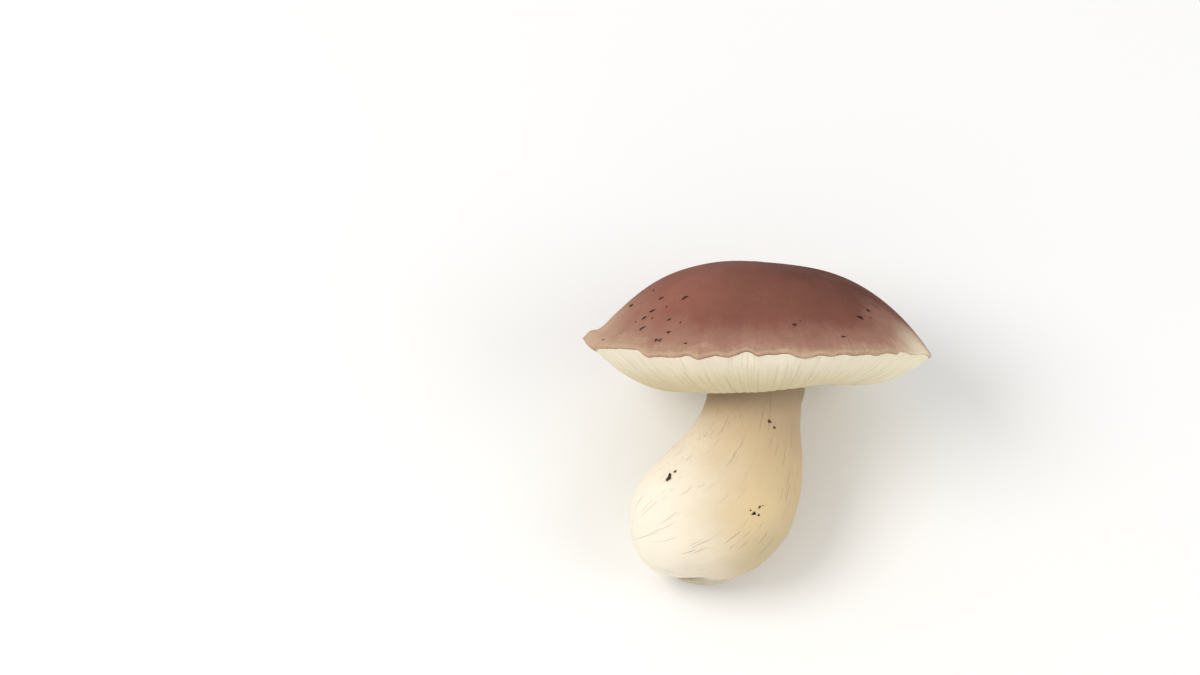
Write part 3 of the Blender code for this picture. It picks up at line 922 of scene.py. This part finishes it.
tubeLook = {
    "top": paint(240, 230, 206),
    # darker lower down: partly the tubes' own olive tone, partly painted shade where the face turns under
    "low": paint(221, 206, 169),
    "lowFade": (-1.0, -11.0),       # height from which it starts, and where it is full
    "right": paint(243, 234, 204),
    "rightFade": (12.0, 56.0, 0.0, 0.8),        # x from, x to, least, most
    "line": paint(168, 148, 118),
    "lineShare": 0.4,
    "hairWidth": 0.5,
    "hairLength": 300.0,
    "hairKept": 0.6,
    "hairFade": (18.0, 42.0),       # distance from the stem's axis
    "hairPatches": (0.35, 0.6, 0.25, 1.0),
    "poreScale": 1.9,
    "poreDots": (0.38, 0.05, 0.0, 0.22),
    "poreDepth": 0.6,
    "clouds": ((9.0, 0.14),),
    "grainSize": 0.6,
    "grainStretch": 10.0,
    "grainDepth": 0.2,
    "roughness": 0.7,
}


def tubeMaterial():
    made, tree, shader = newMaterial("tubeLayerLook", tubeLook["roughness"])
    place, flow = attribute(tree, "place", "Vector"), attribute(tree, "flow", "Vector")
    x, _, z = addNode(tree, "ShaderNodeSeparateXYZ", {0: place}).outputs
    # darker lower down, partly painted shade
    colour = blend(tree, remap(tree, z, *tubeLook["lowFade"]), tubeLook["top"], tubeLook["low"])
    colour = blend(tree, remap(tree, x, *tubeLook["rightFade"]), colour, tubeLook["right"])
    colour = addClouds(tree, colour, place, tubeLook["clouds"])
    reach = addNode(tree, "ShaderNodeSeparateXYZ", {0: flow}).outputs[2]
    hairs = addDashes(tree, flow, tubeLook, "hair")
    hairs = calc(tree, "MULTIPLY", hairs, remap(tree, reach, *tubeLook["hairFade"]))
    patches = remap(tree, noise(tree, place, 0.12, 3.0), *tubeLook["hairPatches"])
    lines = calc(tree, "MAXIMUM", calc(tree, "MULTIPLY", hairs, patches), attribute(tree, "groove"))
    colour = layOver(tree, colour, lines, tubeLook, "line")
    pores = {"Vector": place, "Scale": tubeLook["poreScale"]}
    pores = addNode(tree, "ShaderNodeTexVoronoi", pores).outputs["Distance"]
    colour = blend(tree, remap(tree, pores, *tubeLook["poreDots"]), colour, tubeLook["line"])
    plug(tree, colour, shader.inputs["Base Color"])
    grain = addGrain(tree, place, flow, tubeLook)
    height = calc(tree, "ADD", grain, calc(tree, "MULTIPLY", pores, tubeLook["poreDepth"]))
    addBump(tree, shader, height, tubeLook["grainDepth"])
    return made


stemLook = {
    "cream": paint(249, 240, 221),
    # the stem's own tan towards the right, partly painted shade on the side away from the key lamp
    "tan": paint(210, 186, 146),
    "tanFade": (-44.0, 0.0),        # x from which it starts, and where it is full
    "tanSlant": 0.1,                # how much height moves that
    "driftScale": 0.06,
    "driftPull": 18.0,
    # the upper stem's own brownish colour with painted shade below the cap, reaching further down on the
    # right
    "neck": paint(188, 163, 135),
    "neckFade": (-38.0, -14.0, 0.0, 0.9),       # height from, height to, least, most
    "neckSlant": 0.35,
    # painted shadow: the dark band at the stem's top, under the cap's tube layer
    "top": paint(158, 139, 112),
    "capShadowFade": (-22.0, -12.0),
    "patch": paint(236, 211, 163),
    "patchPlace": (4, -25, -56),
    "patchReach": 24,
    "patchShare": 0.8,
    # painted shade: olive tan on the lower right of the bulb
    "foot": paint(196, 182, 148),
    "footPlace": (8, -14, -72),
    "footReach": 23,
    "footShare": 0.8,
    # painted shade on the lobe that the bulb overhangs
    "lobe": paint(190, 180, 154),
    "lobeShare": 0.85,
    "soil": paint(150, 122, 92),
    "soilPlace": (-14, 10, -80),
    "soilReach": 17,
    "soilPatches": (0.45, 0.68),
    "streak": paint(138, 124, 104),
    "streakWidth": 0.5,
    "streakLength": 16.0,
    "streakKept": 0.17,
    "streakShare": 0.45,
    "streakDepth": 0.35,
    # painted shade in the furrow where the bulb overhangs the lobe
    "crease": paint(120, 104, 82),
    "creaseShare": 0.7,
    "clouds": ((8.0, 0.12),),
    "grainSize": 0.9,
    "grainStretch": 12.0,
    "grainDepth": 0.3,
    "roughness": 0.68,
}


def stemMaterial():
    made, tree, shader = newMaterial("stemFleshLook", stemLook["roughness"])
    place, flow = attribute(tree, "place", "Vector"), attribute(tree, "flow", "Vector")
    x, _, z = addNode(tree, "ShaderNodeSeparateXYZ", {0: place}).outputs
    # cream on the left to tan on the right: the stem's own colour, partly painted shade away from the key
    # lamp
    drift = pull(tree, noise(tree, place, stemLook["driftScale"], 3.0), stemLook["driftPull"])
    slant = calc(tree, "MULTIPLY", z, stemLook["tanSlant"])
    rightward = calc(tree, "ADD", calc(tree, "ADD", x, slant), drift)
    colour = blend(tree, remap(tree, rightward, *stemLook["tanFade"]), stemLook["cream"], stemLook["tan"])
    # painted shade below the cap over the stem's own brownish colour, lower on the shaded right side
    upward = calc(tree, "ADD", z, calc(tree, "MULTIPLY", x, stemLook["neckSlant"]))
    colour = blend(tree, remap(tree, upward, *stemLook["neckFade"]), colour, stemLook["neck"])
    # painted shadow at the stem's top, under the cap
    colour = blend(tree, remap(tree, z, *stemLook["capShadowFade"]), colour, stemLook["top"])
    # patch is a warm cream area; foot is painted shade on the bulb's lower right
    for spot in ("patch", "foot"):
        colour = layOver(tree, colour, nearSpot(tree, place, stemLook, spot), stemLook, spot)
    # painted shade on the lobe under the bulb
    colour = layOver(tree, colour, attribute(tree, "lobe"), stemLook, "lobe")
    colour = addClouds(tree, colour, place, stemLook["clouds"])
    streaks = addDashes(tree, flow, stemLook, "streak")
    colour = layOver(tree, colour, streaks, stemLook, "streak")
    # painted shade along the furrow
    colour = layOver(tree, colour, attribute(tree, "crease"), stemLook, "crease")
    blotch = remap(tree, noise(tree, place, 0.45, 5.0, 0.65), *stemLook["soilPatches"])
    soiled = calc(tree, "MULTIPLY", nearSpot(tree, place, stemLook, "soil"), blotch)
    colour = blend(tree, soiled, colour, stemLook["soil"])
    plug(tree, colour, shader.inputs["Base Color"])
    grain = addGrain(tree, place, flow, stemLook)
    height = calc(tree, "SUBTRACT", grain, calc(tree, "MULTIPLY", streaks, stemLook["streakDepth"]))
    addBump(tree, shader, height, stemLook["grainDepth"])
    return made


crumbLook = {
    "dark": paint(38, 28, 22),
    "light": paint(82, 62, 48),
    "noiseScale": 900.0,            # in metres, as the floor's
    "grainScale": 2500.0,
    "grainDepth": 0.08,
    "roughness": 0.85,
}
floorLook = {
    "dark": paint(247, 247, 246),
    "light": paint(250, 250, 249),
    "noiseScale": 3.0,
    "roughness": 0.9,
}


def crumbMaterial():
    made, tree, shader = newMaterial("soilLook", crumbLook["roughness"])
    place = addNode(tree, "ShaderNodeTexCoord").outputs["Object"]
    spread = remap(tree, noise(tree, place, crumbLook["noiseScale"], 3.0), 0.3, 0.7)
    plug(tree, blend(tree, spread, crumbLook["dark"], crumbLook["light"]), shader.inputs["Base Color"])
    addBump(tree, shader, noise(tree, place, crumbLook["grainScale"], 2.0), crumbLook["grainDepth"])
    return made


def floorMaterial():
    made, tree, shader = newMaterial("floorLook", floorLook["roughness"])
    place = addNode(tree, "ShaderNodeTexCoord").outputs["Object"]
    spread = noise(tree, place, floorLook["noiseScale"], 2.0)
    plug(tree, blend(tree, spread, floorLook["dark"], floorLook["light"]), shader.inputs["Base Color"])
    return made


for piece, makeMaterial, nodeName, slotName in (
    (cap, capMaterial, "cap", "cap_skin"),
    (tubes, tubeMaterial, "pore_layer", "pore_layer"),
    (stem, stemMaterial, "stem", "stem_flesh"),
    (crumbs, crumbMaterial, None, "cap_skin"),
):
    piece.data.materials.append(makeMaterial())
    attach(piece, "root")
    if nodeName:
        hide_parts(nodeName)
print("materials made")


def addFloor():
    bpy.ops.mesh.primitive_plane_add(size=studio["floorSize"], location=(0, 0, 0))
    floor = bpy.context.object
    floor.name = "floor"
    floor.data.materials.append(floorMaterial())


# a large round lamp that looks at the origin, at a place given as the picture sees it: right, up the
# picture, towards the viewer
def addLamp(name, place, size, power, colour):
    right, up, viewer = place
    turned = Vector(layDown(np.array([right, -viewer, up], dtype=float), tilt).tolist())
    light = bpy.data.lights.new(name, "AREA")
    light.shape, light.size, light.energy, light.color = "DISK", size, power, colour
    made = bpy.data.objects.new(name, light)
    made.location = turned
    made.rotation_euler = (-turned).to_track_quat("-Z", "Y").to_euler()
    bpy.context.collection.objects.link(made)


# the camera looks along +y of the growing mushroom, so that the rim's middle falls on its pixel
def addCamera():
    right, up, distance = cameraPlace()
    data = bpy.data.cameras.new("camera")
    data.lens, data.sensor_width = studio["lens"], studio["sensor"]
    data.clip_start, data.clip_end = 0.05, 20
    camera = bpy.data.objects.new("camera", data)
    camera.location = (layDown(np.array([right, -distance, up]), tilt) + shift) / 1000
    camera.rotation_euler = (tilt, 0, 0)
    bpy.context.collection.objects.link(camera)
    bpy.context.scene.camera = camera


def setWorld():
    world = bpy.data.worlds.new("studio")
    world.use_nodes = True
    background = world.node_tree.nodes["Background"]
    background.inputs["Color"].default_value = (1, 1, 1, 1)
    background.inputs["Strength"].default_value = studio["world"]
    bpy.context.scene.world = world


addFloor()
for lamp in studio["lamps"]:
    addLamp(*lamp)
setWorld()
addCamera()
bpy.context.scene.view_settings.view_transform = "Standard"     # keeps the colours as painted
print("floor, lamps and camera set")
